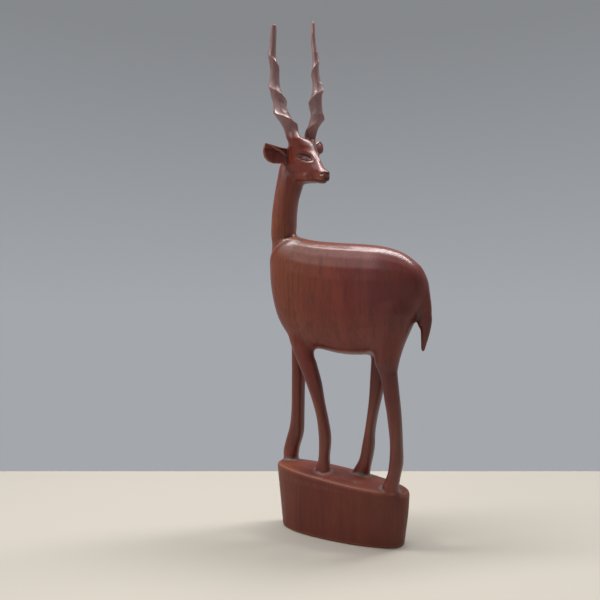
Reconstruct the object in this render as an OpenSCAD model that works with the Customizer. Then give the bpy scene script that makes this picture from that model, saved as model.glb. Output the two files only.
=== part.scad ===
// Carved wooden antelope on a plinth, standing and looking back over its shoulder.
// Millimetres. The origin is the middle of the plinth's underside, +Z is up, the
// chest points to -X and the animal's left side faces -Y.

/* [Plinth] */
// Length of the plinth at its rim
plinth_len = 142; // [136:1:156]
// Width of the plinth at its rim
plinth_w = 53; // [50:1:64]
// Height of the rim under the chest
rim_front_z = 65; // [60:1:68]
// Height of the rim under the tail
rim_rear_z = 51; // [48:1:58]
// Size of the foot of the plinth as a share of its rim
foot_share = 0.91; // [0.8:0.01:1]
// Rise of the plinth's top from its rim to its middle
crown = 4; // [2:0.5:8]

/* [Body] */
// Foremost point of the chest along X
chest_x = -78.5; // [-84:0.5:-76]
// Rearmost point of the rump along X
rump_x = 90; // [86:0.5:95]
// Height of the belly
belly_z = 181; // [176:1:186]
// Height of the withers
withers_z = 303; // [298:1:308]
// Thickness of the body from side to side
body_w = 50; // [44:1:54]

/* [Legs] */
// Distance of each leg's middle from the middle plane
leg_side = 9.5; // [9.25:0.25:12]
// Thickness of a leg from side to side
leg_w = 15; // [12:0.5:17]
// Middle of the left fore hoof along X
left_fore_x = -13.5; // [-18:0.5:-10]
// Middle of the right fore hoof along X
right_fore_x = -62.5; // [-65:0.5:-60]
// Middle of the left hind hoof along X
left_hind_x = 57.5; // [54:0.5:59]
// Middle of the right hind hoof along X
right_hind_x = 20; // [16:0.5:22]

/* [Neck and head] */
// Middle of the neck at the withers along X
neck_x = -65; // [-68:0.5:-63]
// Thickness of the neck from side to side
neck_w = 30; // [26:1:34]
// Middle of the head, between the horns, along X
head_x = -42; // [-45:0.5:-39]
// Height of the crown of the head
head_z = 403; // [400:1:406]
// Turn of the muzzle from the rear towards the left side
head_turn = 25; // [15:1:35]
// Length of the face from the horns to the nose
face_len = 38; // [36:1:42]
// Width of the head across the brows
brow_w = 30; // [26:1:32]

/* [Ears, horns and tail] */
// Length of an ear
ear_len = 29; // [25:1:32]
// Width of an ear
ear_w = 20; // [15:1:22]
// Distance of each horn's root from the middle of the head
horn_side = 11; // [10:0.5:12]
// Height of the right horn's tip
right_horn_z = 524; // [510:1:534]
// Height of the left horn's tip
left_horn_z = 534; // [520:1:544]
// Radius of a horn at its root
horn_r = 9.5; // [8:0.5:10]
// Rise of the horn's spiral ridge in one turn
horn_pitch = 34; // [30:1:45]
// Height of the tail's tip
tail_tip_z = 186; // [180:1:192]

/* [Hidden] */

// Rings made between two rows of a shape, and points round a ring
ring_steps = 4;
horn_steps = 9;
ring_points = 26;
horn_points = 10;

// Squareness of the sections, where 2 is an ellipse
plinth_square = 2.3;
body_square = 2.5;
leg_square = 2.3;
neck_square = 2.2;
head_square = 2.3;
tail_square = 2;

// Share of a leg's height where the thigh starts to swell, and how fast it swells
thigh_start = 0.7;
thigh_swell = 0.25;
// Share of the body's depth at which the tail leaves the rump
tail_root_share = 0.72;

body_len = rump_x - chest_x;
body_depth = withers_z - belly_z;
plinth_top = (rim_front_z + rim_rear_z) / 2 + crown;
leg_top = belly_z + 16;

// --- Shape tools -----------------------------------------------------------

// Point of an outline that is an ellipse at squareness 2 and boxier above it
function outline(angle, squareness) =
    let (c = cos(angle), s = sin(angle), p = 2 / squareness)
    [sign(c) * pow(abs(c), p), sign(s) * pow(abs(s), p)];

// Value between b and c on a smooth curve that passes through a, b, c and d
function between(a, b, c, d, t) =
    b + t * (c - a) / 2
      + t * t * (2 * a - 5 * b + 4 * c - d) / 2
      + t * t * t * (3 * b - 3 * c + d - a) / 2;

// Rows of a shape with smooth rows filled in between them
function refine(rows, steps = ring_steps) =
    let (last = len(rows) - 1)
    [for (i = [0:last - 1]) for (s = [0:steps - 1])
        between(rows[max(i - 1, 0)], rows[i], rows[i + 1], rows[min(i + 2, last)], s / steps),
     rows[last]];

function middle(ring) = [for (p = ring) 1 / len(ring)] * ring;

// Closed solid through a list of rings, its ends closed by fans
module skin(rings) {
    n = len(rings[0]);
    last = len(rings) - 1;
    points = [for (ring = rings) each ring, middle(rings[0]), middle(rings[last])];
    first_middle = (last + 1) * n;
    sides = [for (i = [0:last - 1]) for (k = [0:n - 1])
        let (a = i * n + k, b = i * n + (k + 1) % n) each [[a, b + n, b], [a, a + n, b + n]]];
    fans = [for (k = [0:n - 1]) let (m = (k + 1) % n)
        each [[first_middle, k, m], [first_middle + 1, last * n + m, last * n + k]]];
    polyhedron(points = points, faces = concat(sides, fans));
}

// Upright shape. Each row is [z, middle x, middle y, half length, half width]
module upright(rows, squareness) {
    skin([for (r = refine(rows)) [for (k = [0:ring_points - 1])
        let (p = outline(360 * k / ring_points, squareness))
        [r[1] + r[3] * p[0], r[2] + r[4] * p[1], r[0]]]]);
}

// Lying shape along X. Each row is [x, low z, high z, half width]
module lying(rows, squareness) {
    skin([for (r = refine(rows)) [for (k = [0:ring_points - 1])
        let (p = outline(360 * k / ring_points, squareness))
        [r[0], r[3] * p[0], (r[1] + r[2]) / 2 + (r[2] - r[1]) / 2 * p[1]]]]);
}

// First child without the others, so that neighbours meet face to face
module carved() {
    resize([0, 0, 0]) difference() {
        children(0);
        children([1:$children - 1]);
    }
}

// --- Plinth ----------------------------------------------------------------

// Height of the rim at a place along X
function rim_z(x) = rim_front_z + (rim_rear_z - rim_front_z) * (x / plinth_len + 0.5);

// Each row is [share of the rim's outline, share of the rim's height, share of the crown]
side_rows = [[foot_share * 0.975, 0, 0], [foot_share, 0.03, 0], [(1 + foot_share) / 2, 0.5, 0], [1, 0.95, 0]];
top_rows = [[0.985, 1, 0], [0.88, 1, 0.35], [0.6, 1, 0.8], [0.25, 1, 1]];
// Sides that stand clear outside the plinth, to trim the hooves at its top
clear_rows = [[1.2, 0, 0], [1.2, 1, 0]];

module block(rows) {
    sides = 2 * ring_points;
    skin([for (row = rows) [for (k = [0:sides - 1])
        let (p = outline(360 * k / sides, plinth_square), x = plinth_len / 2 * p[0] * row[0])
        [x, plinth_w / 2 * p[1] * row[0], rim_z(x) * row[1] + crown * row[2]]]]);
}

module plinth() {
    color("sienna") block(concat(side_rows, top_rows));
}

// --- Body ------------------------------------------------------------------

// Each row is [share of the length, low and high shares of the depth, share of the half width]
torso_rows = [
    [0.000, 0.70, 0.84, 0.22],
    [0.010, 0.55, 0.92, 0.42],
    [0.035, 0.40, 0.97, 0.62],
    [0.075, 0.25, 0.99, 0.80],
    [0.140, 0.13, 1.00, 0.93],
    [0.210, 0.08, 0.98, 1.00],
    [0.330, 0.04, 0.945, 1.00],
    [0.480, 0.00, 0.92, 0.97],
    [0.620, 0.00, 0.90, 0.98],
    [0.740, 0.04, 0.875, 1.00],
    [0.840, 0.12, 0.83, 0.93],
    [0.915, 0.27, 0.76, 0.78],
    [0.965, 0.38, 0.68, 0.58],
    [0.990, 0.46, 0.61, 0.36],
    [1.000, 0.51, 0.56, 0.16],
];

module torso_block() {
    lying([for (r = torso_rows) [
        chest_x + body_len * r[0],
        belly_z + body_depth * r[1],
        belly_z + body_depth * r[2],
        body_w / 2 * r[3]]], body_square);
}

module torso() {
    color("brown") torso_block();
}

// --- Legs ------------------------------------------------------------------

// Rows of a leg are [share of the height from plinth to body, x from the hoof, half length]
function leg_rows(rows, hoof_x, side) = [for (r = rows) [
    plinth_top + (leg_top - plinth_top) * r[0],
    hoof_x + r[1],
    side * leg_side,
    r[2],
    leg_w / 2 * (1 + thigh_swell * max(r[0] - thigh_start, 0))]];

foreleg_left_rows = [
    [-0.14, -1.5, 8.8], [0.00, -1.2, 7.6], [0.10, -0.2, 5.2], [0.20, 0.8, 5.6], [0.28, 0.6, 5.8],
    [0.40, -2.0, 5.2], [0.52, -6.6, 5.3], [0.64, -12.0, 6.4], [0.78, -19.4, 8.0], [1.00, -31.0, 11.0],
];

foreleg_right_rows = [
    [-0.14, 0.6, 7.4], [0.00, 0.6, 7.2], [0.10, 2.4, 6.8], [0.20, 5.6, 6.7], [0.28, 7.2, 5.8],
    [0.40, 7.8, 5.4], [0.60, 8.2, 5.6], [0.78, 9.0, 6.5], [1.00, 10.0, 9.0],
];

hindleg_left_rows = [
    [-0.14, -1.8, 7.0], [-0.03, 0.2, 6.6], [0.06, 2.8, 6.2], [0.14, 4.8, 6.4], [0.28, 5.4, 5.2],
    [0.40, 5.0, 4.9], [0.52, 3.4, 5.4], [0.64, 0.4, 6.8], [0.82, -4.4, 9.8], [1.00, -5.6, 14.5],
];

hindleg_right_rows = [
    [-0.14, -2.0, 8.2], [0.00, 0.4, 7.4], [0.12, 4.8, 6.4], [0.20, 6.6, 6.2], [0.30, 8.2, 5.0],
    [0.42, 10.8, 5.0], [0.56, 14.2, 6.2], [0.70, 17.0, 8.0], [0.84, 20.0, 10.0], [1.00, 23.0, 13.0],
];

module leg(rows, hoof_x, side) {
    color("saddlebrown") carved() {
        upright(leg_rows(rows, hoof_x, side), leg_square);
        torso_block();
        block(concat(clear_rows, top_rows));
    }
}

module foreleg_left() {
    leg(foreleg_left_rows, left_fore_x, -1);
}

module foreleg_right() {
    leg(foreleg_right_rows, right_fore_x, 1);
}

module hindleg_left() {
    leg(hindleg_left_rows, left_hind_x, -1);
}

module hindleg_right() {
    leg(hindleg_right_rows, right_hind_x, 1);
}

// --- Tail ------------------------------------------------------------------

// Each row is [share of the height from tip to root, x from the rump, half length, half width]
tail_rows = [
    [0.00, -5.0, 0.6, 0.6], [0.03, -4.8, 1.8, 1.5], [0.15, -3.0, 3.8, 3.2], [0.28, -1.8, 5.2, 4.4],
    [0.38, -1.6, 6.0, 5.2], [0.52, -2.4, 6.8, 6.4], [0.72, -4.8, 7.0, 8.0], [0.86, -7.7, 6.6, 8.5],
    [1.00, -12.0, 5.0, 7.0],
];

module tail() {
    root_z = belly_z + body_depth * tail_root_share;
    color("saddlebrown") carved() {
        upright([for (r = tail_rows)
            [tail_tip_z + (root_z - tail_tip_z) * r[0], rump_x + r[1], 0, r[2], r[3]]], tail_square);
        torso_block();
    }
}

// --- Neck and head ---------------------------------------------------------

// Each row is [z from the withers, x from the middle at the withers, y, half length, half width share]
neck_rows = [
    [-24, -0.5, 0, 11.8, 1.05], [-8, -0.9, 0, 13.0, 1.02], [8, -0.7, 0, 12.8, 1.00],
    [24, 0.0, 0, 12.8, 0.96], [40, 2.0, 0.5, 13.0, 0.93], [54, 5.2, 1.5, 14.2, 0.93],
    [66, 7.4, 3.0, 14.8, 0.93], [78, 8.2, 5.0, 14.0, 0.90], [86, 9.6, 6.0, 10.0, 0.72],
];

module neck_block() {
    upright([for (r = neck_rows)
        [withers_z + r[0], neck_x + r[1], r[2], r[3], neck_w / 2 * r[4]]], neck_square);
}

module neck() {
    color("brown") carved() {
        neck_block();
        torso_block();
        head_block();
    }
}

// Puts a child drawn along +X, from between the horns, into the head's place
module on_head() {
    translate([head_x, 0, head_z]) rotate([0, 0, -head_turn]) children();
}

// Each row is [share of the face's length, low z, high z, half width share]
head_rows = [
    [-0.56, -26, -12, 0.34], [-0.50, -34, -6, 0.62], [-0.38, -39, -1, 0.88], [-0.20, -42, 2, 1.00],
    [0.00, -43, 0, 1.00], [0.20, -45, -5, 0.92], [0.40, -46.5, -12, 0.72], [0.58, -48, -22, 0.54],
    [0.76, -50, -31, 0.43], [0.92, -50.5, -36, 0.38], [0.98, -49, -38, 0.32], [1.00, -47, -41, 0.22],
];

module head_block() {
    on_head() lying([for (r = head_rows)
        [face_len * r[0], r[1], r[2], brow_w / 2 * r[3]]], head_square);
}

module head() {
    color("sienna") head_block();
}

// --- Ears ------------------------------------------------------------------

// Each row is [share of the length, share of the half width, bend towards the back]
ear_rows = [
    [-0.18, 0.34, 0.0], [0.00, 0.55, 0.0], [0.20, 0.86, 0.5], [0.42, 1.00, 1.2],
    [0.64, 0.90, 1.4], [0.82, 0.60, 1.0], [0.94, 0.28, 0.4], [1.00, 0.06, 0.0],
];
ear_wall = 3;
ear_depth = 6.5;

// Cupped leaf along +Z, its hollow facing -Y
module leaf() {
    half = ring_points / 2;
    skin([for (r = refine(ear_rows)) [for (k = [0:ring_points - 1])
        let (a = 180 * (k < half ? k : ring_points - k) / half,
            deep = ear_depth * r[1] - (k < half ? 0 : ear_wall * sqrt(abs(r[1]))),
            hollow = max(deep, ear_depth * r[1] * 0.3))
        [ear_w / 2 * r[1] * cos(a), r[2] + (k < half ? ear_depth * r[1] : hollow) * sin(a),
         ear_len * r[0]]]]);
}

// The ear's root and its tip in the head's own frame, and the turn of its hollow
module ear(root, tip, turn) {
    way = tip - root;
    lean = acos(way[2] / norm(way));
    heading = atan2(way[1], way[0]);
    color("peru") carved() {
        on_head() translate(root) rotate([0, lean, heading]) rotate([0, 0, turn]) leaf();
        head_block();
        neck_block();
    }
}

module ear_left() {
    ear([-11, 11.5, -13], [-3, 31, 1], 0);
}

module ear_right() {
    ear([-11, -11.5, -20], [-19.5, -37, -7], 180);
}

// --- Horns -----------------------------------------------------------------

// Share of the horn's radius at each corner of its section, the first being the ridge
ridge = [1.22, 1.06, 0.94, 0.90, 0.94, 0.98, 0.94, 0.90, 0.94, 1.06];

// Each row is [share of the height, x and y from the root, share of the root's radius]
right_horn_rows = [
    [-0.09, 1.0, 0.8, 0.84], [0.02, -1.0, 0.0, 0.94], [0.12, -7.6, -0.8, 1.02], [0.22, -13.8, -1.6, 1.04],
    [0.36, -20.6, -2.4, 0.84], [0.54, -23.0, -3.4, 0.62], [0.70, -24.6, -4.2, 0.52],
    [0.86, -24.0, -5.0, 0.42], [1.00, -22.6, -5.6, 0.28],
];

left_horn_rows = [
    [-0.12, -0.6, -1.0, 0.70], [0.02, 0.4, 0.0, 0.78], [0.12, 3.6, 0.6, 0.88], [0.22, 6.2, 1.0, 0.94],
    [0.38, 6.4, 1.8, 0.80], [0.54, 5.2, 2.6, 0.62], [0.70, 3.4, 3.2, 0.50],
    [0.86, 0.4, 4.0, 0.34], [1.00, -1.6, 4.6, 0.22],
];

module horn(rows, tip_z, side) {
    n = horn_points;
    root = [head_x + side * horn_side * sin(head_turn), side * horn_side * cos(head_turn)];
    rise = tip_z - head_z;
    color("rosybrown") carved() {
        skin([for (r = refine(rows, horn_steps)) [for (k = [0:n - 1])
            let (turn = 360 * k / n + side * 360 * r[0] * rise / horn_pitch,
                reach = horn_r * r[3] * ridge[k])
            [root[0] + r[1] + reach * cos(turn), root[1] + r[2] + reach * sin(turn),
             head_z + rise * r[0]]]]);
        head_block();
    }
}

module horn_left() {
    horn(left_horn_rows, left_horn_z, 1);
}

module horn_right() {
    horn(right_horn_rows, right_horn_z, -1);
}

plinth();
foreleg_left();
foreleg_right();
hindleg_left();
hindleg_right();
torso();
neck();
head();
ear_left();
ear_right();
horn_left();
horn_right();
tail();
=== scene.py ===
"""Carved wooden antelope on its plinth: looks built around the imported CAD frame.

The CAD nodes are read as distance fields, fused as one block of wood, carved further, and cut
apart again into one closed piece per node. Carving is in millimetres, Blender objects in metres.
"""

import math

import bpy
import numpy as np
import openvdb as vdb
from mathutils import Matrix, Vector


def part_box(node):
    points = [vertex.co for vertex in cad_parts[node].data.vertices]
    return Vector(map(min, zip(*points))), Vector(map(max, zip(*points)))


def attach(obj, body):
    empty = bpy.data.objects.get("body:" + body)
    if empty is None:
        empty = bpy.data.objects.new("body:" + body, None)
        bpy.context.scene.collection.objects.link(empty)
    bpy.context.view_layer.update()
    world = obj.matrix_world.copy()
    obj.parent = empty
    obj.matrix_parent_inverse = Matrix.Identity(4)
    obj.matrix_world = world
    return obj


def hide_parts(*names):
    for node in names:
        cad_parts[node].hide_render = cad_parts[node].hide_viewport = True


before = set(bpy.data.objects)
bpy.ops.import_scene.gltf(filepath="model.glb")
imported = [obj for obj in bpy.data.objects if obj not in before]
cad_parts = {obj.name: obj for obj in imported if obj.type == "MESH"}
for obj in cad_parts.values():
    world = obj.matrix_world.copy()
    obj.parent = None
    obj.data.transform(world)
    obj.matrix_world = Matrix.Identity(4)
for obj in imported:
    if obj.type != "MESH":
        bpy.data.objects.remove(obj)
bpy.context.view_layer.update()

MM = 0.001
FAR = 12.0  # furthest distance that the body's field holds, in mm
BODY_STEP = 1.0  # spacing of the body's grid, in mm
HEAD_STEP = 0.5  # spacing of the grid of the head, neck and horns, in mm
JOIN_Z = 345.0  # height on the neck at which the two surfaces are joined, in mm
BODY_NODES = ["plinth", "foreleg_left", "foreleg_right", "hindleg_left", "hindleg_right",
              "torso", "neck", "tail"]
HEAD_NODES = ["neck", "head", "ear_left", "ear_right", "horn_left", "horn_right"]
SLOTS = {
    "plinth": "plinth_wood",
    "foreleg_left": "body_wood",
    "foreleg_right": "body_wood",
    "hindleg_left": "body_wood",
    "hindleg_right": "body_wood",
    "torso": "body_wood",
    "neck": "body_wood",
    "tail": "body_wood",
    "head": "head_wood",
    "ear_left": "head_wood",
    "ear_right": "head_wood",
    "horn_left": "horn_wood",
    "horn_right": "horn_wood",
}
# How polished each slot's wood is, from 0 to 1
GLOSS = {"plinth_wood": 0.25, "body_wood": 1.0, "head_wood": 0.9, "horn_wood": 1.0}


# --- Distance fields ---------------------------------------------------------------------


class Field:
    """Distances to the wood's surface on a grid, in millimetres, negative inside the wood."""

    def __init__(self, low, high, step):
        self.low = np.array(low, float)
        self.step = step
        self.count = np.ceil((np.array(high) - self.low) / step).astype(int) + 1
        self.d = np.full(self.count, FAR, np.float32)

    def window(self, low, high):
        """The part of the grid between two corners, as slices and its x, y and z."""
        start = np.clip(np.floor((np.array(low) - self.low) / self.step), 0, self.count - 1)
        stop = np.clip(np.ceil((np.array(high) - self.low) / self.step) + 1, 1, self.count)
        slices = tuple(slice(int(a), int(b)) for a, b in zip(start, stop))
        axes = []
        for axis in range(3):
            line = self.low[axis] + self.step * np.arange(slices[axis].start, slices[axis].stop)
            shape = [1, 1, 1]
            shape[axis] = len(line)
            axes.append(line.reshape(shape).astype(np.float32))
        return slices, axes

    def whole(self):
        """The whole grid, as slices and its x, y and z."""
        return self.window(self.low, self.low + self.step * self.count)

    def sample(self, points):
        """Distance at each point, interpolated between the grid's points."""
        return interpolated(self.d, (points - self.low) / self.step)

    def slope(self, points):
        """Direction in which the distance grows fastest at each point, of length about one."""
        columns = []
        for axis in range(3):
            move = np.zeros(3)
            move[axis] = self.step
            rise = self.sample(points + move) - self.sample(points - move)
            columns.append(rise / (2 * self.step))
        return np.stack(columns, axis=1)


def interpolated(values, places):
    """Values between grid points, each place being given in steps from the first one."""
    top = np.array(values.shape) - 2
    base = np.clip(np.floor(places).astype(int), 0, top)
    part = np.clip(places - base, 0, 1)
    total = np.zeros(len(places))
    for i in (0, 1):
        for j in (0, 1):
            for k in (0, 1):
                share = np.abs(1 - i - part[:, 0]) * np.abs(1 - j - part[:, 1])
                share = share * np.abs(1 - k - part[:, 2])
                total += share * values[base[:, 0] + i, base[:, 1] + j, base[:, 2] + k]
    return total


def node_distance(node, field, reach=FAR):
    """Distance to a CAD node's surface over the whole of a field."""
    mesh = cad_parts[node].data
    mesh.calc_loop_triangles()
    points = np.empty(len(mesh.vertices) * 3, np.float32)
    mesh.vertices.foreach_get("co", points)
    points = points.reshape(-1, 3) / MM
    corners = np.empty(len(mesh.loop_triangles) * 3, np.int32)
    mesh.loop_triangles.foreach_get("vertices", corners)
    return mesh_distance(points, corners.reshape(-1, 3), field, reach)


def blurred(values, sigma, step):
    """Values averaged with their neighbours, sigma being in millimetres."""
    spread = sigma / step
    reach = int(math.ceil(2.5 * spread))
    weights = np.exp(-0.5 * (np.arange(-reach, reach + 1) / spread) ** 2)
    weights = (weights / weights.sum()).astype(np.float32)
    for axis in range(3):
        pad = [(0, 0)] * 3
        pad[axis] = (reach, reach)
        padded = np.pad(values, pad, mode="edge")
        total = np.zeros_like(values)
        for offset, weight in enumerate(weights):
            cut = [slice(None)] * 3
            cut[axis] = slice(offset, offset + values.shape[axis])
            total += weight * padded[tuple(cut)]
        values = total
    return values


def blend_union(a, b, k):
    """Union of two fields with a fillet of about k millimetres."""
    h = np.maximum(k - np.abs(a - b), 0) / k
    return np.minimum(a, b) - h * h * k / 4


def ramp(values, start, stop):
    """0 before start and 1 after stop, with a smooth rise between them."""
    t = np.clip((values - start) / (stop - start), 0, 1)
    return t * t * (3 - 2 * t)


def ellipsoid(x, y, z, centre, radii):
    """Approximate distance to an ellipsoid."""
    p, q, r = (x - centre[0]), (y - centre[1]), (z - centre[2])
    near = np.sqrt((p / radii[0]) ** 2 + (q / radii[1]) ** 2 + (r / radii[2]) ** 2)
    steep = np.sqrt((p / radii[0] ** 2) ** 2 + (q / radii[1] ** 2) ** 2 + (r / radii[2] ** 2) ** 2)
    return near * (near - 1) / np.maximum(steep, 1e-6)


def capsule(x, y, z, start, stop, first, last):
    """Distance to a rod whose radius goes from first to last."""
    a, b = np.array(start, float), np.array(stop, float)
    way = b - a
    t = ((x - a[0]) * way[0] + (y - a[1]) * way[1] + (z - a[2]) * way[2]) / (way @ way)
    t = np.clip(t, 0, 1)
    gap = (x - a[0] - t * way[0]) ** 2 + (y - a[1] - t * way[1]) ** 2 + (z - a[2] - t * way[2]) ** 2
    return np.sqrt(gap) - (first + (last - first) * t)


def line_distance(u, v, path):
    """Distance in a plane to a line through the points of path."""
    nearest = None
    for (u0, v0), (u1, v1) in zip(path[:-1], path[1:]):
        du, dv = u1 - u0, v1 - v0
        t = np.clip(((u - u0) * du + (v - v0) * dv) / (du * du + dv * dv), 0, 1)
        gap = np.sqrt((u - u0 - t * du) ** 2 + (v - v0 - t * dv) ** 2)
        nearest = gap if nearest is None else np.minimum(nearest, gap)
    return nearest


def line_side(u, v, path):
    """Signed distance in a plane to a line through the points of path, positive on its left."""
    best = None
    for (u0, v0), (u1, v1) in zip(path[:-1], path[1:]):
        du, dv = u1 - u0, v1 - v0
        t = np.clip(((u - u0) * du + (v - v0) * dv) / (du * du + dv * dv), 0, 1)
        gap = np.sqrt((u - u0 - t * du) ** 2 + (v - v0 - t * dv) ** 2)
        sign = np.where(du * (v - v0) - dv * (u - u0) > 0, 1.0, -1.0)
        if best is None:
            best, nearest = sign * gap, gap
        else:
            best = np.where(gap < nearest, sign * gap, best)
            nearest = np.minimum(gap, nearest)
    return best


def outline_distance(u, v, corners):
    """Signed distance in a plane to a closed outline, negative inside it."""
    nearest = line_distance(u, v, corners + corners[:1])
    inside = np.zeros(np.broadcast(u, v).shape, bool)
    for (u0, v0), (u1, v1) in zip(corners, corners[1:] + corners[:1]):
        if v0 == v1:
            continue
        crossed = (v0 > v) != (v1 > v)
        inside ^= crossed & (u < u0 + (v - v0) * (u1 - u0) / (v1 - v0))
    return np.where(inside, -nearest, nearest)


def mesh_distance(points, triangles, field, reach):
    """Distance to a closed mesh over the whole of a field, held up to reach."""
    grid = vdb.FloatGrid.createLevelSetFromPolygons(
        ((np.array(points) - field.low) / field.step).astype(np.float32),
        triangles=np.array(triangles).astype(np.uint32),
        transform=vdb.createLinearTransform(1.0),
        halfWidth=reach / field.step,
    )
    values = np.empty(field.count, np.float32)
    grid.copyToArray(values)
    return values * field.step


# --- Body, in the coarse field -----------------------------------------------------------


# Lines are drawn on the left side as x and z, and on the right side in perspective from here
DRAWN_FROM = (242.7, -543.7, 229.2)


def drawn(x, y, z):
    """Where a point of the body falls on the drawing of its lines."""
    near_y = np.minimum(-y, 0)
    share = near_y / (near_y - DRAWN_FROM[1])
    return x - share * (x - DRAWN_FROM[0]), z - share * (z - DRAWN_FROM[2])


def side_windows(field, path, reach):
    """The parts of the field near a drawn line, on either side of the body."""
    xs = [p[0] for p in path]
    zs = [p[1] for p in path]
    for side in (-1, 1):
        low = (min(xs) - reach - 4, -60 if side < 0 else 0, min(zs) - reach - 4)
        high = (max(xs) + reach + 22, 0 if side < 0 else 60, max(zs) + reach + 4)
        cut, (x, y, z) = field.window(low, high)
        yield cut, side, y, drawn(x, y, z)


def groove(field, path, depth, width):
    """Soft groove along a drawn line on both sides. A negative depth raises a ridge."""
    for cut, side, y, (u, v) in side_windows(field, path, 3 * width):
        gap = line_distance(u, v, path)
        field.d[cut] += (depth * np.exp(-((gap / width) ** 2)) * ramp(side * y, 1, 6)).astype(np.float32)


GOUGES = 230  # strokes tried over the plinth's top


def chisel_top(field, plinth):
    """Shallow gouge strokes over the plinth's top, between and around the hooves."""
    chance = np.random.default_rng(11)
    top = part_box("plinth")[1][2] / MM
    for _ in range(GOUGES):
        px, py = chance.uniform(-68, 68), chance.uniform(-23, 23)
        if (px / 68) ** 2 + (py / 24) ** 2 > 1:
            continue
        way = chance.uniform(0, math.pi)
        long, wide, deep = chance.uniform(6, 11), chance.uniform(2.6, 4.4), chance.uniform(1.6, 2.8)
        # Height of the sloping rim, and the crown above it
        level = 59.4 - 0.095 * px + 4.5 * (1 - (py / 26) ** 2) * (1 - (px / 72) ** 2)
        cut, (x, y, z) = field.window((px - 12, py - 12, level - 4), (px + 12, py + 12, level + 6))
        p = (x - px) * math.cos(way) + (y - py) * math.sin(way)
        q = (y - py) * math.cos(way) - (x - px) * math.sin(way)
        lift = deep * chance.uniform(0.45, 0.75)
        gouge = ellipsoid(p, q, z - level - lift, (0, 0, 0), (long, wide, deep))
        clear = np.maximum(-gouge, -2.0)
        plinth[cut] = np.where(z < top + 2, np.maximum(plinth[cut], clear), plinth[cut])


TAIL_TIP_X = 85.6
# Where a leg is fuller than its CAD node: the node, millimetres along X (towards the rump is
# positive), and the heights at which the swelling starts, is full, starts to fade, and ends
LEG_SWELLS = [
    ("foreleg_right", -3, (52, 76, 78, 136)),
    ("foreleg_right", 2, (66, 100, 150, 182)),
    ("foreleg_left", 3, (106, 160, 188, 206)),
    ("hindleg_left", -3, (70, 124, 134, 170)),
    ("hindleg_left", -2, (40, 44, 58, 74)),
    ("hindleg_right", -3, (40, 44, 60, 78)),
]


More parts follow.
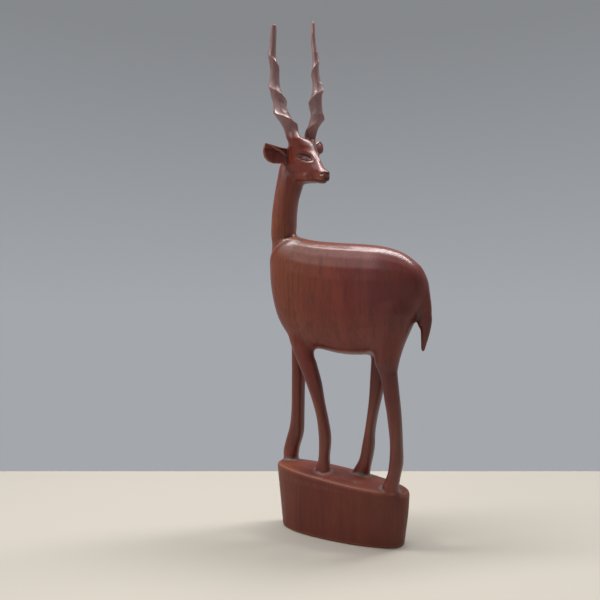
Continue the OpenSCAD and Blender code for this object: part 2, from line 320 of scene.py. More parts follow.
def make_body():
    """The carved body's field, and the field of each CAD node in it."""
    low = (-88, -36, -6)
    high = (104, 40, 372)
    field = Field(low, high, BODY_STEP)
    nodes = {n: node_distance(n, field) for n in BODY_NODES}
    x, y, z = field.whole()[1]
    # The plinth is a little fuller at the foot of its rear end
    base = nodes["plinth"] - 1.8 * ramp(x, 40, 72) * (1 - ramp(z, 24, 58)) * ramp(z, -2, 0)
    chisel_top(field, base)
    legs = np.minimum.reduce([nodes[n] for n in BODY_NODES if "leg_" in n])
    for name, shift, heights in LEG_SWELLS:
        swollen = np.roll(nodes[name], shift, axis=0)
        share = ramp(z, heights[0], heights[1]) * (1 - ramp(z, heights[2], heights[3]))
        legs = blend_union(legs, swollen + 4 * (1 - share), 2.0)
    fused = np.minimum.reduce([nodes["torso"], nodes["neck"], nodes["tail"]])
    fused = np.minimum(fused, blend_union(base, legs, 3.0))
    # Haunches that run down into the hind legs
    for side, back in ((-1, 0), (1, -5)):
        cut, (x, y, z) = field.window((20, -40, 150), (100, 40, 250))
        haunch = capsule(x, y, z, (53 + back, side * 9, 178), (61 + back, side * 7, 222), 10.5, 18)
        fused[cut] = blend_union(fused[cut], haunch, 6)
    x, y, z = field.whole()[1]
    # Soft all over, softer where the legs, the neck and the tail leave the body
    soft = blurred(fused, 0.9, field.step)
    softer = blurred(fused, 3.6, field.step) - 0.5
    legs_top = ramp(z, 168, 184) * (1 - ramp(z, 196, 214))
    neck_foot = ramp(z, 268, 290) * (1 - ramp(z, 306, 326)) * (1 - ramp(x, -50, -34))
    tail_root = ramp(x, 74, 80) * ramp(z, 200, 210) * (1 - ramp(z, 268, 280)) * 0.8
    share = np.clip(legs_top + neck_foot + tail_root, 0, 1)
    crisp = 1 - ramp(z, 60, 72)
    field.d = (soft + share * (softer - soft)).astype(np.float32)
    field.d += crisp * (1 - share) * (fused - soft) * 0.85
    # The tail's thin blade is kept from the blur, and widened towards the rump
    root = np.roll(nodes["tail"], -3, axis=0) + 5 * (1 - ramp(z, 200, 214))
    blade = blend_union(nodes["tail"], root, 1.0) + 0.3 + 5 * ramp(z, 216, 232)
    tip = capsule(x, y, z, (TAIL_TIP_X, 0, 187.6), (TAIL_TIP_X + 2.4, 0, 203), 1.4, 3.6)
    blade = np.minimum(blade, np.where(z < 214, tip, FAR))
    field.d = blend_union(field.d, blade, 1.2).astype(np.float32)
    # The crease between rump and tail is shallow, so it is filled most of the way
    web = capsule(x, y, z, (81.5, 0, 221.5), (81.5, 0, 238), 3.8, 5.4)
    field.d = blend_union(field.d, web, 3.0).astype(np.float32)
    # The neck stands back behind the lip of each shoulder
    lip = [(-84, 268), (-79, 277), (-74, 284.5), (-67, 292), (-59, 298.5), (-50, 302), (-40, 302)]
    for cut, side, y, (u, v) in side_windows(field, lip, 14):
        up = line_side(u, v, lip)
        step_in = 1.2 * ramp(up, -0.6, 1.6) * (1 - ramp(up, 4, 18)) * ramp(u, -82, -72)
        lifted = 0.6 * np.exp(-(((up + 2.2) / 2.6) ** 2)) * ramp(u, -82, -72)
        field.d[cut] += ((step_in - lifted) * ramp(side * y, 3, 9)).astype(np.float32)
    x, y, z = field.whole()[1]
    field.d = np.maximum(field.d, -z).astype(np.float32)
    # Grooves and ridges where the legs run into the body, and a scar on the flank
    groove(field, [(-44, 236), (-40, 222), (-36, 200), (-31, 184), (-27, 176)], 0.55, 3.4)
    groove(field, [(-52, 232), (-50, 214), (-46, 196)], -0.5, 5)
    groove(field, [(24, 224), (26, 206), (28, 192)], 0.3, 2.8)
    groove(field, [(22, 253), (23.0, 255.5), (24.5, 257)], 0.22, 0.8)
    return field, nodes


# --- Head, in the fine field -------------------------------------------------------------


HEAD_PLACE = (-42.0, 0.0, 403.0)
HEAD_TURN = math.radians(25)
HEAD_REACH = 8.0  # furthest distance that the head's field holds, in mm
# The face is drawn in three-quarter view: across and up from the head's place
VIEW_SHARE = (0.602, 0.798)
VIEW_FALL = 0.283


def head_frame(x, y, z):
    """Place along the face, across to the left, and up, from between the horns."""
    along = (x - HEAD_PLACE[0]) * math.cos(HEAD_TURN) - (y - HEAD_PLACE[1]) * math.sin(HEAD_TURN)
    across = (x - HEAD_PLACE[0]) * math.sin(HEAD_TURN) + (y - HEAD_PLACE[1]) * math.cos(HEAD_TURN)
    return along, across, z - HEAD_PLACE[2]


def face_drawing(along, across, up):
    """Where a point falls on the drawing of the face, either side being drawn as the right."""
    side = -np.abs(across)
    right = VIEW_SHARE[0] * along + VIEW_SHARE[1] * side
    near = VIEW_SHARE[1] * along - VIEW_SHARE[0] * side
    return right, up + VIEW_FALL * near


def stroke(u, v, path, depth, width):
    """Soft line through the points of path, depth high and fading over about width."""
    return depth * np.exp(-((line_distance(u, v, path) / width) ** 2))


def spot(u, v, centre, radii, height):
    """Soft spot, height high at its centre."""
    return height * np.exp(-(((u - centre[0]) / radii[0]) ** 2) - ((v - centre[1]) / radii[1]) ** 2)


# Height, x and y of the middle, and radius of each horn
RIGHT_HORN = [
    (382, -41.0, -6.0, 3.5), (394, -44.0, -9.4, 7.6), (402, -46.3, -10.4, 8.3),
    (414, -52.4, -11.0, 8.1), (427, -59.0, -11.7, 8.6),
    (439, -63.7, -12.2, 8.3), (450, -67.6, -12.7, 7.0), (461, -68.8, -13.2, 6.4), (474, -69.6, -13.9, 5.3),
    (490, -71.3, -14.7, 4.7), (502, -70.7, -15.3, 4.1), (513, -69.9, -15.9, 3.6),
    (523.8, -69.3, -16.4, 2.9),
]
LEFT_HORN = [
    (382, -40.0, 6.0, 3.0), (394, -39.6, 9.6, 5.8), (406, -39.1, 10.4, 6.1),
    (419, -36.2, 10.8, 6.9), (431, -32.2, 11.2, 8.1),
    (444, -32.4, 11.7, 7.3), (455, -32.7, 12.1, 6.5), (465, -32.6, 12.5, 5.7), (477, -33.9, 12.9, 4.3),
    (486, -35.0, 13.3, 4.0), (499, -35.6, 13.7, 3.7), (510, -37.2, 14.2, 2.9), (522, -38.3, 14.6, 2.4),
    (533.7, -38.8, 15.0, 2.0),
]
# Heights at which each horn's ridge has made a whole number of turns
RIGHT_TURNS = [(382, -1.65), (394, -1.25), (432, 0), (461, 1), (497, 2), (540, 3)]
LEFT_TURNS = [(382, -1.5), (394, -1.1), (427, 0), (460, 1), (492, 2), (540, 3.2)]
# Shares of a horn's radius: opposite to the ridge, gained on the ridge, and taken by the knife
HORN_CORE = 0.84
HORN_RIDGE = 0.46
HORN_CUT = 0.6
HORN_SIDES = 6  # flat knife cuts round a horn


def horn_distance(x, y, z, rows, turns, start_angle, hand):
    """Distance to a horn whose section swells to one corner, which climbs as a spiral ridge."""
    heights = [r[0] for r in rows]
    level = np.clip(z, heights[0], heights[-1])
    middle_x = np.interp(level, heights, [r[1] for r in rows])
    middle_y = np.interp(level, heights, [r[2] for r in rows])
    radius = np.interp(level, heights, [r[3] for r in rows])
    turn = np.interp(level, [t[0] for t in turns], [t[1] for t in turns])
    right, ahead = x - middle_x, y - middle_y
    reach = np.hypot(right, ahead)
    angle = hand * (np.arctan2(ahead, right) - math.radians(start_angle)) - 2 * math.pi * turn
    off_ridge = np.abs((angle + math.pi) % (2 * math.pi) - math.pi)
    swell = HORN_CORE + HORN_RIDGE * (1 - off_ridge / math.pi) ** 2.5
    # Flat cuts round the horn, which wander as they climb
    way = np.arctan2(ahead, right) + 0.30 * np.sin(level * 0.13) + 0.12 * np.sin(level * 0.41)
    step = 2 * math.pi / HORN_SIDES
    from_middle = (way % step) - step / 2
    swell *= 1 - HORN_CUT * (1 - math.cos(step / 2) / np.cos(from_middle))
    weight = ramp(level, 398, 410) * (1 - 0.55 * ramp(level, 480, 512))
    share = 0.96 + (swell - 0.96) * weight
    ends = np.maximum(heights[0] - z, z - heights[-1])
    return np.maximum(0.92 * (reach - share * radius), ends)


# Outline of an ear and the line below its rim, along it from its root and across it upwards
EAR_OUTLINE = [
    (27.6, 10.4), (20, 9.0), (12, 7.6), (4, 7.2), (-4, 8.0), (-6, 0), (-4, -7.5), (3, -8.0), (12, -9.7),
    (19, -10.4), (24.6, -8.7), (28.0, -4.4), (29.2, 1.5), (28.8, 7.0),
]
EAR_RIM = [(30, 10.6), (26, 8.6), (15.3, 4.1), (0.7, -0.1), (-6, -1.0)]


def ear_distance(along, across, up, root, lift, width_share, width_shift, depth):
    """Distance to a leaf-shaped ear whose hollow is scooped out below a rim along its top."""
    out, rise = np.abs(across) - root[0], up - root[1]
    p = out * math.cos(lift) + rise * math.sin(lift)
    q = (rise * math.cos(lift) - out * math.sin(lift) - width_shift) / width_share
    edge = outline_distance(p, q, EAR_OUTLINE) * width_share ** 0.5
    below = -line_side(p, q, EAR_RIM[::-1])
    middle = root[2] - 0.004 * p * p
    front = middle + 3.0 - 0.02 * q * q
    back = middle - 3.2 + 0.018 * q * q
    deep = depth * (1 - 0.05 * np.clip(below, 0, 14))
    lip = np.where(q > 3.5, ramp(-edge, 0.3, 1.3), 1.0)
    soft = 1.2 + 4.0 * (1 - ramp(p, 2, 14))
    hollow = deep * ramp(below, -0.2, soft) * lip * ramp(p, 0, 16)
    slab = np.maximum(along - front, back - along)
    leaf = -blend_union(-slab, -edge, 1.6)
    scooped = along - np.maximum(front - hollow, back + 1.5)
    return np.maximum(leaf, scooped * 0.85)


def make_head():
    """The carved field of the head, neck and horns, and the field of each CAD node in it."""
    low = (-92, -32, 336)
    high = (2, 37, 540)
    field = Field(low, high, HEAD_STEP)
    nodes = {n: node_distance(n, field, HEAD_REACH) for n in HEAD_NODES}
    skull = blurred(np.minimum(nodes["head"], nodes["neck"]), 0.8, field.step)
    softer = blurred(np.minimum(nodes["head"], nodes["neck"]), 2.6, field.step) - 0.3
    # The cheek flows into the neck, above a square jaw
    cut, (x, y, z) = field.window((-80, -32, 342), (2, 37, 408))
    along, across, up = head_frame(x, y, z)
    share = (1 - ramp(along, -4, 6)) * (1 - ramp(up, -14, -4))
    skull[cut] += (share * (softer[cut] - skull[cut])).astype(np.float32)
    jaw = capsule(along, np.abs(across), up, (-12, 8.0, -37.2), (14, 6.6, -42.0), 5.0, 3.9)
    skull[cut] = blend_union(skull[cut], jaw, 3.5)
    pad = ellipsoid(along, across, up, (36.2, 0, -41.3), (3.4, 4.6, 2.9))
    skull[cut] = blend_union(skull[cut], pad, 1.8)
    dome = ellipsoid(along, across, up, (3.5, 0, -9.0), (8.0, 8.0, 8.6))
    skull[cut] = blend_union(skull[cut], dome, 9.0)
    # Ears
    cut, (x, y, z) = field.window((-92, -32, 366), (2, 37, 424))
    along, across, up = head_frame(x, y, z)
    right = ear_distance(along, across, up, (11, -15.5, -11.5), 0.0, 1.0, 0.0, 4.4)
    right = np.where(across < -8, right, HEAD_REACH)
    left = ear_distance(along, across, up, (11, -12, -10.5), math.radians(24), 0.70, 3.0, 1.6)
    left = np.where(across > 8, left, HEAD_REACH)
    fused = skull
    fused[cut] = blend_union(fused[cut], np.minimum(right, left), 2.2)
    # Face
    cut, (x, y, z) = field.window((-70, -32, 342), (2, 37, 416))
    along, across, up = head_frame(x, y, z)
    u, v = face_drawing(along, across, up)
    face = np.zeros_like(fused[cut])
    # The eye's socket and ball, its lids, and the brow
    face += spot(u, v, (1.0, -17.2), (7.0, 3.4), 1.2)
    face -= spot(u, v, (1.6, -18.0), (3.2, 1.8), 0.65)
    upper_lid = [(-6.6, -14.8), (-4.0, -13.4), (1.0, -13.9), (5.8, -16.9), (8.6, -20.0)]
    face += stroke(u, v, upper_lid, 0.75, 0.75)
    face += stroke(u, v, [(-4.6, -17.2), (-1.6, -19.4), (3.4, -20.9), (8.0, -20.6)], 0.5, 0.6)
    face -= stroke(u, v, [(-4.6, -18.9), (-1.6, -20.9), (3.6, -22.4), (8.2, -22.1)], 0.22, 0.9)
    face -= stroke(u, v, [(-5.0, -10.8), (1.0, -10.4), (7.2, -13.2), (11.4, -18.0)], 0.5, 2.0)
    face *= ramp(along, -2, 4) * ramp(np.abs(across), 0.5, 2.5)
    # Mouth round the muzzle, nostrils beside it, and a dent behind them
    face += stroke(along, up, [(42, -47.6), (36, -49.0), (31, -48.0), (26, -46.2)], 1.1, 0.8)
    face -= stroke(along, up, [(34, -46.6), (29, -45.6)], 0.4, 1.2) * ramp(np.abs(across), 3, 5)
    nostril = spot(along, up, (36.0, -42.0), (1.7, 1.0), 1.3)
    face += nostril * ramp(np.abs(across), 2.0, 3.4)
    face += spot(along, up, (30.0, -40.0), (3.0, 3.4), 0.6) * ramp(np.abs(across), 2, 4)
    face += spot(along, up, (14.0, -33.0), (9.0, 5.0), 0.5) * ramp(np.abs(across), 4, 7)
    fused[cut] += face.astype(np.float32)
    # Horns
    grid_z = field.whole()[1][2]
    for rows, turns, start_angle, hand in (
            (RIGHT_HORN, RIGHT_TURNS, 208, -1), (LEFT_HORN, LEFT_TURNS, 28, 1)):
        xs = [r[1] for r in rows]
        ys = [r[2] for r in rows]
        low = (min(xs) - 14, min(ys) - 14, rows[0][0] - 3)
        high = (max(xs) + 14, max(ys) + 14, rows[-1][0] + 3)
        cut, (x, y, z) = field.window(low, high)
        horn = np.full_like(fused, HEAD_REACH)
        horn[cut] = horn_distance(x, y, z, rows, turns, start_angle, hand)
        fillet = 1.6 + 7.0 * (1 - ramp(grid_z, 400, 414))
        fused = np.where(horn < HEAD_REACH - 0.1, blend_union(fused, horn, fillet), fused)
    field.d = blurred(fused, 0.25, field.step)
    return field, nodes


# --- Surfaces ----------------------------------------------------------------------------


def surface(field):
    """Points and four-sided faces of a field's zero surface, the faces turned outwards."""
    limit = 3 * field.step
    grid = vdb.FloatGrid(limit)
    grid.copyFromArray(np.clip(field.d, -limit, limit).astype(np.float32))
    points, quads = grid.convertToQuads(0.0)
    points = points.astype(float) * field.step + field.low
    quads = quads.astype(int)
    one_way = points[quads[:, 2]] - points[quads[:, 0]]
    across = np.cross(one_way, points[quads[:, 3]] - points[quads[:, 1]])
    outward = field.slope(points[quads].mean(axis=1))
    if (across * outward).sum() < 0:
        quads = quads[:, ::-1]
    for _ in range(3):
        points = relaxed(field, points, quads)
    return points, quads


def relaxed(field, points, quads):
    """Points evened out along the surface, and put back on it."""
    ends = np.concatenate([quads[:, [0, 1]], quads[:, [1, 2]], quads[:, [2, 3]], quads[:, [3, 0]]])
    total = np.zeros_like(points)
    for axis in range(3):
        total[:, axis] = np.bincount(ends[:, 0], points[ends[:, 1], axis], len(points))
        total[:, axis] += np.bincount(ends[:, 1], points[ends[:, 0], axis], len(points))
    number = np.bincount(ends.ravel(), minlength=len(points))
    even = total / np.maximum(number, 1)[:, None]
    moved = points + 0.5 * (even - points)
    slope = field.slope(moved)
    size = np.maximum((slope ** 2).sum(axis=1), 0.2)
    return moved - (field.sample(moved) / size)[:, None] * slope


def outer_loops(faces):
    """The points round each open edge of some faces, in order."""
    following = {}
    net = {}
    for corner in range(4):
        for a, b in zip(faces[:, corner].tolist(), faces[:, (corner + 1) % 4].tolist()):
            if a < b:
                net[a, b] = net.get((a, b), 0) + 1
            elif b < a:
                net[b, a] = net.get((b, a), 0) - 1
    for (a, b), number in sorted(net.items()):
        for _ in range(number):
            following.setdefault(a, []).append(b)
        for _ in range(-number):
            following.setdefault(b, []).append(a)
    loops = []
    for start in sorted(following):
        while following[start]:
            path = [start]
            step = following[start].pop()
            while True:
                if step in path:
                    place = path.index(step)
                    loops.append(path[place:])
                    path = path[:place]
                    if not path:
                        break
                path.append(step)
                step = following[step].pop()
    return loops


def joined(body, head, join_z):
    """Both surfaces as one, the body's below join_z and the head's above it.

    Three-sided faces repeat their last point. Loose specks are left out.
    """
    points_a, quads_a, field_a = body
    points_b, quads_b, field_b = head
    keep_a = quads_a[points_a[quads_a][:, :, 2].max(axis=1) < join_z]
    keep_b = quads_b[points_b[quads_b][:, :, 2].min(axis=1) > join_z + 0.3]
    loop_a = max(outer_loops(keep_a), key=len)
    loop_b = max(outer_loops(keep_b), key=len)
    shift = len(points_a)
    points = np.concatenate([points_a, points_b])
    keep_b = keep_b + shift
    loop_b = [i + shift for i in loop_b]
    middle = points[loop_a].mean(axis=0)

    def by_angle(loop):
        around = np.arctan2(points[loop, 1] - middle[1], points[loop, 0] - middle[0])
        first = int(around.argmin())
        loop = loop[first:] + loop[:first]
        return loop, np.unwrap(np.concatenate([around[first:], around[:first]]))

    ring_a, angle_a = by_angle(loop_a[::-1])
    ring_b, angle_b = by_angle(loop_b)
    strip = []
    i = j = 0
    while i < len(ring_a) or j < len(ring_b):
        next_a = angle_a[i + 1] if i + 1 < len(ring_a) else angle_a[0] + 2 * math.pi
        next_b = angle_b[j + 1] if j + 1 < len(ring_b) else angle_b[0] + 2 * math.pi
        a0, b0 = ring_a[i % len(ring_a)], ring_b[j % len(ring_b)]
        if j >= len(ring_b) or (i < len(ring_a) and next_a <= next_b):
            a1 = ring_a[(i + 1) % len(ring_a)]
            strip.append([a0, a1, b0, b0])
            i += 1
        else:
            b1 = ring_b[(j + 1) % len(ring_b)]
            strip.append([a0, b1, b0, b0])
            j += 1
    faces = np.concatenate([keep_a, keep_b, np.array(strip)])
    patch = patches(faces)
    faces = faces[patch == np.bincount(patch).argmax()]
    used, faces = np.unique(faces, return_inverse=True)
    faces = faces.reshape(-1, 4)
    points = points[used]
    fine = used >= shift
    slopes = np.where(fine[:, None], field_b.slope(points), field_a.slope(points))
    slopes /= np.linalg.norm(slopes, axis=1)[:, None]
    return points, faces, slopes, fine


def nearest_node(points, faces, fine, body, head):
    """For each face, the CAD node that it lies nearest to."""
    centres = points[faces].mean(axis=1)
    fine_face = fine[faces].all(axis=1)
    names = sorted(SLOTS)
    gaps = np.full((len(faces), len(names)), FAR)
    for field, nodes, chosen in ((body[0], body[1], ~fine_face), (head[0], head[1], fine_face)):
        for name in nodes:
            places = (centres[chosen] - field.low) / field.step
            gaps[chosen, names.index(name)] = interpolated(nodes[name], places)
    owner = gaps.argmin(axis=1)
    for _ in range(6):
        owner = tidied(faces, owner, len(names))
    return names, without_specks(faces, owner)


def patches(faces):
    """Number of the patch, joined edge to edge, that each face belongs to."""
    ends = np.stack([faces, np.roll(faces, -1, axis=1)], axis=2)
    ends.sort(axis=2)
    keys = ends[..., 0] * (faces.max() + 1) + ends[..., 1]
    edges = np.unique(keys, return_inverse=True)[1].reshape(faces.shape)
    label = np.arange(len(faces))
    while True:
        lowest = np.full(edges.max() + 1, len(faces))
        np.minimum.at(lowest, edges.ravel(), np.repeat(label, 4))
        fresh = np.minimum(label, lowest[edges].min(axis=1))
        fresh = fresh[fresh]
        if (fresh == label).all():
            return label
        label = fresh


def without_specks(faces, owner):
    """Small patches of a node's faces given to the node round them."""
    for number in np.unique(owner):
        chosen = np.flatnonzero(owner == number)
        found, patch, sizes = np.unique(
            patches(faces[chosen]), return_inverse=True, return_counts=True)
        for k in range(len(found)):
            if sizes[k] < sizes.max():
                speck = chosen[patch == k]
                touching = np.isin(faces, faces[speck]).any(axis=1) & (owner != number)
                if touching.any():
                    owner[speck] = np.bincount(owner[touching]).argmax()
    return owner


def tidied(faces, owner, count):
    """Each face given to the node that most of its neighbours belong to, to remove specks."""
    votes = np.zeros((faces.max() + 1, count))
    for corner in range(4):
        np.add.at(votes, (faces[:, corner], owner), 1)
    return votes[faces].sum(axis=1).argmax(axis=1)


def closed_piece(name, points, faces, slopes, extras):
    """Blender mesh of one node's faces, closed by caps where it was cut from its neighbours."""
    used, faces = np.unique(faces, return_inverse=True)
    faces = faces.reshape(-1, 4)
    polygons = []
    for face in faces.tolist():
        polygons.append(face[:3] if face[2] == face[3] else face)
    own = points[used]
    caps = []
    middles = []
    for loop in outer_loops(faces):
        middle = len(own) + len(middles)
        middles.append(own[loop].mean(axis=0))
        for a, b in zip(loop, loop[1:] + loop[:1]):
            caps.append([b, a, middle])
    if middles:
        own = np.concatenate([own, np.array(middles)])
    mesh = bpy.data.meshes.new(name)
    mesh.from_pydata((own * MM).tolist(), [], polygons + caps)
    normals = []
    slope_list = slopes[used].tolist()
    for polygon in polygons:
        normals.extend(slope_list[i] for i in polygon)
    for a, b, c in caps:
        across = np.cross(own[b] - own[a], own[c] - own[a])
        size = np.linalg.norm(across)
        flat = (across / size).tolist() if size > 0 else [0.0, 0.0, 1.0]
        normals.extend([flat] * 3)
    mesh.shade_smooth()
    mesh.normals_split_custom_set(normals)
    for key, values in extras.items():
        layer = mesh.attributes.new(key, "FLOAT", "POINT")
        own_values = np.zeros(len(own), np.float32)
        own_values[:len(used)] = values[used]
        layer.data.foreach_set("value", own_values)
    piece = bpy.data.objects.new(name, mesh)
    bpy.context.scene.collection.objects.link(piece)
    return piece


# --- Wood --------------------------------------------------------------------------------

WOOD = {
    "dark red": (0.150, 0.018, 0.011),
    "light red": (0.200, 0.031, 0.016),
    # Lighter and darker wood tone, partly painted light and painted shade
    "warm and lit": (0.260, 0.072, 0.024),
    "shaded": (0.060, 0.010, 0.009),
    "band": (0.055, 0.009, 0.006),
    "streak": (0.030, 0.006, 0.004),
    "pore": (0.016, 0.004, 0.003),
    "unpolished": (0.095, 0.036, 0.022),
    # Pale horns: a painted sheen of reflected light on the same wood
    "horn": (0.280, 0.170, 0.165),
    # Lighter edges: wear, partly a painted highlight
    "worn and highlit edge": (0.360, 0.125, 0.070),
    # Painted shade in the hollows
    "hollow": (0.014, 0.006, 0.005),
    "dust": (0.230, 0.190, 0.165),
    # Near black for the nose, lids and pupil, and painted shade under the chin
    "black_and_shade": (0.006, 0.004, 0.004),
}
COAT = 0.38  # weight of the varnish on fully polished wood


def wood_material(name, gloss):
    """Hardwood whose grain runs up the block, varnished by gloss, from 0 to 1."""
    material = bpy.data.materials.new(name)
    material.use_nodes = True
    tree = material.node_tree
    tree.nodes.clear()
    link = tree.links.new

    def node(kind, **values):
        made = tree.nodes.new(kind)
        for key, value in values.items():
            setattr(made, key, value)
        return made

    output = node("ShaderNodeOutputMaterial")
    shader = node("ShaderNodeBsdfPrincipled")
    link(shader.outputs["BSDF"], output.inputs["Surface"])
    where = node("ShaderNodeTexCoord").outputs["Object"]

    def stretched(scale, detail, rough, distortion=0.0):
        """Noise with that many cells per metre along each axis."""
        mapping = node("ShaderNodeMapping")
        mapping.inputs["Scale"].default_value = scale
        link(where, mapping.inputs["Vector"])
        noise = node("ShaderNodeTexNoise")
        noise.inputs["Scale"].default_value = 1.0
        noise.inputs["Detail"].default_value = detail
        noise.inputs["Roughness"].default_value = rough
        noise.inputs["Distortion"].default_value = distortion
        link(mapping.outputs["Vector"], noise.inputs["Vector"])
        return noise.outputs["Fac"]

    def scaled(value, low, high, to_low, to_high):
        """The value with low to high turned into to_low to to_high, and held between them."""
        change = node("ShaderNodeMapRange")
        change.inputs["From Min"].default_value = low
        change.inputs["From Max"].default_value = high
        change.inputs["To Min"].default_value = to_low
        change.inputs["To Max"].default_value = to_high
        link(value, change.inputs["Value"])
        return change.outputs["Result"]

    def mixed(first, second, share):
        """One colour with a share of another over it."""
        mix = node("ShaderNodeMix", data_type="RGBA")
        for value, socket in ((first, mix.inputs["A"]), (second, mix.inputs["B"])):
            if isinstance(value, tuple):
                socket.default_value = (*value, 1)
            else:
                link(value, socket)
        link(share, mix.inputs["Factor"])
        return mix.outputs["Result"]

    def mark(key):
        """One of the numbers that wood_marks gives each point."""
        return node("ShaderNodeAttribute", attribute_name=key).outputs["Fac"]

    broad = stretched((48, 48, 6), 2, 0.5, 0.5)
    bands = stretched((260, 260, 9), 3, 0.55, 0.3)
    streaks = stretched((750, 750, 26), 3, 0.6, 0.2)
    pores = stretched((2200, 2200, 110), 2, 0.5)
    speckle = stretched((500, 500, 420), 3, 0.6)
    colour = mixed(WOOD["dark red"], WOOD["light red"], scaled(broad, 0.35, 0.65, 0, 1))
    # Lighter and darker wood tone, partly painted light and painted shade
    colour = mixed(colour, WOOD["warm and lit"], scaled(mark("tone_and_painted_light"), 0, 1, 0, 0.60))
    colour = mixed(colour, WOOD["shaded"], scaled(mark("tone_and_painted_light"), 0, -1, 0, 0.60))
    colour = mixed(colour, WOOD["band"], scaled(bands, 0.50, 0.72, 0, 0.30 + 0.20 * gloss))
    colour = mixed(colour, WOOD["streak"], scaled(streaks, 0.52, 0.75, 0, 0.34 + 0.16 * gloss))
    colour = mixed(colour, WOOD["pore"], scaled(pores, 0.60, 0.74, 0, 0.50))
    plain = 0.5 * (1 - gloss)
    colour = mixed(colour, WOOD["unpolished"], scaled(broad, 0.3, 0.7, 0.7 * plain, plain))
    # Pale horns: a painted sheen of reflected light on the same wood
    colour = mixed(colour, WOOD["horn"], scaled(mark("horn"), 0, 1, 0, 0.80))
    # Lighter edges: wear, partly a painted highlight
    colour = mixed(colour, WOOD["worn and highlit edge"], scaled(mark("edge"), 0, 1, 0, 0.55))
    # Painted shade in the hollows
    colour = mixed(colour, WOOD["hollow"], scaled(mark("hollow"), 0, 1, 0, 0.75))
    colour = mixed(colour, WOOD["dust"], scaled(mark("dust"), 0, 1, 0, 0.50))
    # Black nose, lids and pupil, and painted shade under the chin
    colour = mixed(colour, WOOD["black_and_shade"], mark("black_and_shade"))
    link(colour, shader.inputs["Base Color"])
    roughness = scaled(bands, 0.3, 0.7, 0.52 - 0.16 * gloss, 0.62 - 0.14 * gloss)
    link(roughness, shader.inputs["Roughness"])
    shader.inputs["Specular IOR Level"].default_value = 0.3
    shader.inputs["Coat Weight"].default_value = COAT * gloss
    shader.inputs["Coat Roughness"].default_value = 0.22
    bump = node("ShaderNodeBump")
    bump.inputs["Strength"].default_value = 0.2
    bump.inputs["Distance"].default_value = 0.0003
    link(streaks, bump.inputs["Height"])
    fine_bump = node("ShaderNodeBump")
    fine_bump.inputs["Strength"].default_value = 0.12
    fine_bump.inputs["Distance"].default_value = 0.0003
    link(speckle, fine_bump.inputs["Height"])
    link(bump.outputs["Normal"], fine_bump.inputs["Normal"])
    link(fine_bump.outputs["Normal"], shader.inputs["Normal"])
    return material


def bend(field, points, sigma):
    """How far the surface bends at each point: above 0 on edges and below 0 in hollows."""
    smooth = Field(field.low, field.low + field.step * (field.count - 1), field.step)
    smooth.d = blurred(field.d, sigma, field.step)
    return smooth.sample(points) / sigma


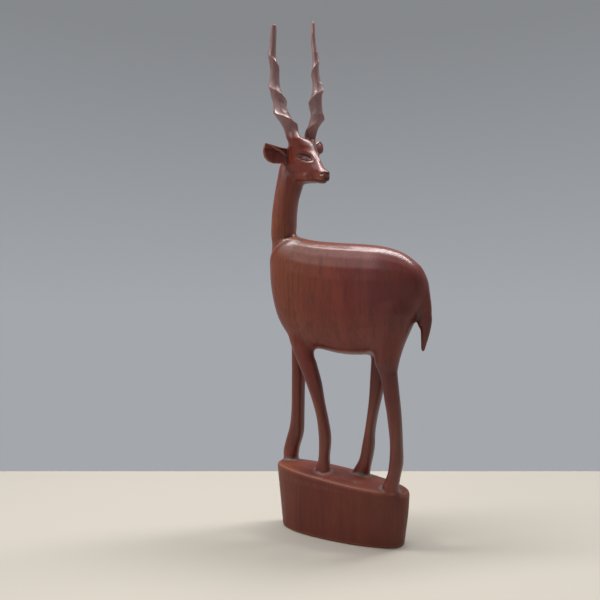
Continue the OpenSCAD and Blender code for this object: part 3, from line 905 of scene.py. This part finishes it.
def wood_marks(points, fine, body_field, head_field):
    """Numbers at each point that the wood's material turns into colour."""
    curve = np.where(fine, bend(head_field, points, 1.0), bend(body_field, points, 1.8))
    x, y, z = points.T
    along, across, up = head_frame(x, y, z)
    u, v = face_drawing(along, across, up)
    marks = {}
    # Lighter edges, worn and partly a painted highlight, but not on the tail, and painted shade in the
    # hollows
    tail = ramp(x, 78, 84) * (1 - ramp(z, 236, 250)) * ramp(z, 170, 180)
    marks["edge"] = np.clip((curve - 0.10) / 0.25, 0, 1) * (1 - tail)
    # Painted shade darkening the hollows
    marks["hollow"] = np.clip((-curve - 0.02) / 0.14, 0, 1)
    # Black nose, lids and pupil, and painted shade under the chin
    nose = spot(across, up, (0, -40.2), (2.6, 2.2), 1.5) * ramp(along, 36.5, 38.0)
    nose += spot(across, up, (0, -47.0), (4.0, 1.3), 1.5) * ramp(along, 34, 36)
    # Painted shade along the underside of the chin
    chin = (1 - ramp(up, -50.8, -49.4)) * ramp(along, 12, 24)
    lid = [(-6.4, -14.9), (-4.0, -13.6), (1.0, -14.3), (5.8, -17.3), (8.4, -19.8)]
    eye = stroke(u, v, lid, 0.7, 1.0)
    eye = eye + spot(u, v, (0.8, -16.4), (5.6, 1.8), 0.25) + spot(u, v, (2.2, -17.6), (1.8, 1.5), 0.7)
    eye *= ramp(along, 0, 5)
    marks["black_and_shade"] = np.clip(nose + chin + eye, 0, 1) * fine
    # Lighter shoulder, back and front of the neck, darker haunch, tail and legs: partly the wood's own
    # tone, partly painted light on the shoulder, the top of the back and the neck, and painted shade on
    # the haunch, the legs and the plinth's rear part
    # Lighter shoulder: partly painted light
    tone_and_painted_light = 0.9 * np.exp(-(((x + 50) / 45) ** 2) - ((z - 262) / 60) ** 2)
    # Lighter strip along the top of the back: painted light from above
    tone_and_painted_light += 0.9 * np.exp(-(((x + 30) / 45) ** 2)) * ramp(z, 292, 300) * (z < 312)
    # Darker haunch: painted shade
    tone_and_painted_light -= 0.9 * np.exp(-(((x - 62) / 32) ** 2) - ((z - 238) / 46) ** 2)
    # Darker rear part of the plinth: painted shade
    tone_and_painted_light -= 0.5 * ramp(x, 20, 60) * (z < 70)
    # Lighter neck, most along its front: partly painted light
    neck = ramp(z, 300, 320) * (1 - ramp(z, 350, 372))
    tone_and_painted_light += (0.3 + 0.6 * np.exp(-(((x + 66) / 7) ** 2))) * neck
    # Darker tail: the wood's tone, partly painted shade
    tone_and_painted_light -= 0.9 * ramp(x, 78, 88) * (1 - ramp(z, 205, 235))
    # Darker legs, the hind legs more and their +y side most: painted shade
    rear = ramp(x, 20, 50) * (0.6 + 0.5 * ramp(y, 0, 6))
    tone_and_painted_light -= (0.5 + rear) * ramp(z, 60, 80) * (1 - ramp(z, 160, 190))
    # Lighter front end of the plinth's top: painted light
    tone_and_painted_light += 0.6 * ramp(-x, 30, 60) * ramp(z, 50, 58) * (1 - ramp(z, 72, 80))
    marks["tone_and_painted_light"] = tone_and_painted_light
    # Pale horns: a painted sheen of reflected light on the same wood
    marks["horn"] = ramp(z, 398, 425)
    # Pale dust left by the chisel on the plinth's top
    marks["dust"] = ramp(z, 48, 52) * (1 - ramp(z, 70, 76)) * np.clip((-curve + 0.02) / 0.12, 0, 1)
    return marks


# --- Build -------------------------------------------------------------------------------

body_field, body_nodes = make_body()
head_field, head_nodes = make_head()
body_points, body_quads = surface(body_field)
head_points, head_quads = surface(head_field)
points, faces, slopes, fine = joined(
    (body_points, body_quads, body_field), (head_points, head_quads, head_field), JOIN_Z)
names, owner = nearest_node(
    points, faces, fine, (body_field, body_nodes), (head_field, head_nodes))
marks = wood_marks(points, fine, body_field, head_field)
materials = {slot: wood_material(slot, GLOSS[slot]) for slot in sorted(GLOSS)}
for index, name in enumerate(names):
    piece = closed_piece(name + "_carved", points, faces[owner == index], slopes, marks)
    piece.data.materials.append(materials[SLOTS[name]])
    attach(piece, "root")
    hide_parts(name)

# --- Floor, lights and camera ------------------------------------------------------------

CAMERA_TURN = math.radians(28)
FLOOR_EDGE = 0.22  # how far the floor reaches behind the statue, in metres
FLOOR_REACH = 1.5  # how far it reaches the other ways, in metres
SKY_TOP = 0.42  # height on the world's unit sphere at which it is darkest
SKY_STRENGTHS = (0.47, 0.30)  # at the horizon and at that height
floor_mesh = bpy.data.meshes.new("floor")
floor_corners = []
for right, ahead in ((-FLOOR_REACH, -FLOOR_REACH), (FLOOR_REACH, -FLOOR_REACH),
                     (FLOOR_REACH, FLOOR_EDGE), (-FLOOR_REACH, FLOOR_EDGE)):
    floor_corners.append((
        right * math.cos(CAMERA_TURN) - ahead * math.sin(CAMERA_TURN),
        right * math.sin(CAMERA_TURN) + ahead * math.cos(CAMERA_TURN),
        0))
floor_mesh.from_pydata(floor_corners, [], [(0, 1, 2, 3)])
floor = bpy.data.objects.new("floor", floor_mesh)
bpy.context.scene.collection.objects.link(floor)
floor_material = bpy.data.materials.new("floor_pale")
floor_material.use_nodes = True
floor_shader = floor_material.node_tree.nodes["Principled BSDF"]
floor_shader.inputs["Base Color"].default_value = (0.46, 0.42, 0.36, 1)
floor_shader.inputs["Roughness"].default_value = 0.7
floor_mesh.materials.append(floor_material)

world = bpy.data.worlds.new("studio")
world.use_nodes = True
sky = world.node_tree
backdrop = sky.nodes["Background"]
sky_way = sky.nodes.new("ShaderNodeTexCoord")
sky_axes = sky.nodes.new("ShaderNodeSeparateXYZ")
sky_rise = sky.nodes.new("ShaderNodeMapRange")
sky_rise.inputs["From Min"].default_value = 0.0
sky_rise.inputs["From Max"].default_value = SKY_TOP
sky_rise.inputs["To Min"].default_value = SKY_STRENGTHS[0]
sky_rise.inputs["To Max"].default_value = SKY_STRENGTHS[1]
sky.links.new(sky_way.outputs["Generated"], sky_axes.inputs["Vector"])
sky.links.new(sky_axes.outputs["Z"], sky_rise.inputs["Value"])
sky.links.new(sky_rise.outputs["Result"], backdrop.inputs["Strength"])
backdrop.inputs["Color"].default_value = (0.79, 0.82, 0.87, 1)
bpy.context.scene.world = world
bpy.context.scene.view_settings.view_transform = "Standard"


def softbox(name, place, target, width, height, power):
    """Rectangular light that faces its target, sized in metres and powered in watts."""
    light = bpy.data.lights.new(name, "AREA")
    light.shape = "RECTANGLE"
    light.size = width
    light.size_y = height
    light.energy = power
    lamp = bpy.data.objects.new(name, light)
    bpy.context.scene.collection.objects.link(lamp)
    lamp.location = place
    way = np.array(target, float) - np.array(place, float)
    heading = math.atan2(way[1], way[0]) - math.pi / 2
    tilt = math.atan2(way[2], math.hypot(way[0], way[1])) + math.pi / 2
    lamp.rotation_euler = (tilt, 0, heading)


softbox("window", (-1.4, -1.5, 2.0), (0, 0, 0.25), 2.2, 1.2, 15)
softbox("ceiling", (-0.1, 0.12, 1.5), (0, 0, 0.25), 2.0, 0.22, 36)

# The camera stands to the rear of the animal's left side, a little below its back
CAMERA_PLACE = (0.2427, -0.5437, 0.2292)
CAMERA_TILT = math.radians(90.59)
CAMERA_LENS = 35.1
camera_data = bpy.data.cameras.new("camera")
camera_data.lens = CAMERA_LENS
camera_data.sensor_width = 36
camera = bpy.data.objects.new("camera", camera_data)
camera.location = CAMERA_PLACE
camera.rotation_euler = (CAMERA_TILT, 0, CAMERA_TURN)
bpy.context.scene.collection.objects.link(camera)
bpy.context.scene.camera = camera
